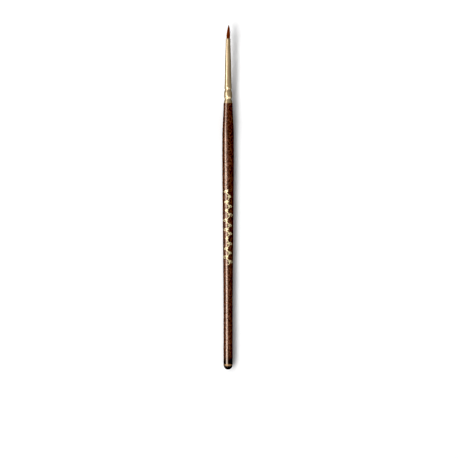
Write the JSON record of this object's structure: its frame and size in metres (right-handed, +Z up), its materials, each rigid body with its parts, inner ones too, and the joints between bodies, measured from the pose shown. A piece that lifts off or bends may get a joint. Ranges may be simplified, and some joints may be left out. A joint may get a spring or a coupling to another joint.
{
  "type": "fine detail brush",
  "caption": "Round fine detail brush lying on its side: pointed brown hair, tapered pale-gold crimped ferrule, turned mottled lacquer handle with a gold vine stamp and a black dipped end.",
  "frame": {"origin": "on the table straight under the middle of the brush's length", "axes": "+Y along the brush axis towards the hair tip, +Z up from the table, +X to the right seen from above"},
  "size_m": [0.006, 0.18, 0.006],
  "materials": {
    "lacquered_wood": "mottled dark brown under clear gloss lacquer",
    "black_lacquer": "black gloss dip",
    "gold_band": "gold paint, gloss",
    "gold_foil": "hot-stamped gold foil",
    "ferrule_metal": "polished pale gold plating",
    "epoxy": "clear amber",
    "thread": "waxed fine thread",
    "hair": "reddish-brown animal hair, slight sheen"
  },
  "bodies": {
    "brush": {"handle": "lacquered_wood", "end_dip": "black_lacquer", "end_ring": "gold_band", "foil_flourish": "gold_foil", "ferrule": "ferrule_metal", "tenon_glue": "epoxy", "root_glue": "epoxy", "binding_thread": "thread", "hair_root": "hair"},
    "tuft": {"hair_tuft": "hair"}
  },
  "joints": [
    {"name": "hair_flex", "type": "hinge", "parent": "brush", "child": "tuft", "pos_m": [0, 0.0831, 0.003], "axis": [0, 0, 1], "range_deg": [-45, 45], "stiffness_Nm_per_rad": 0.0003}
  ]
}
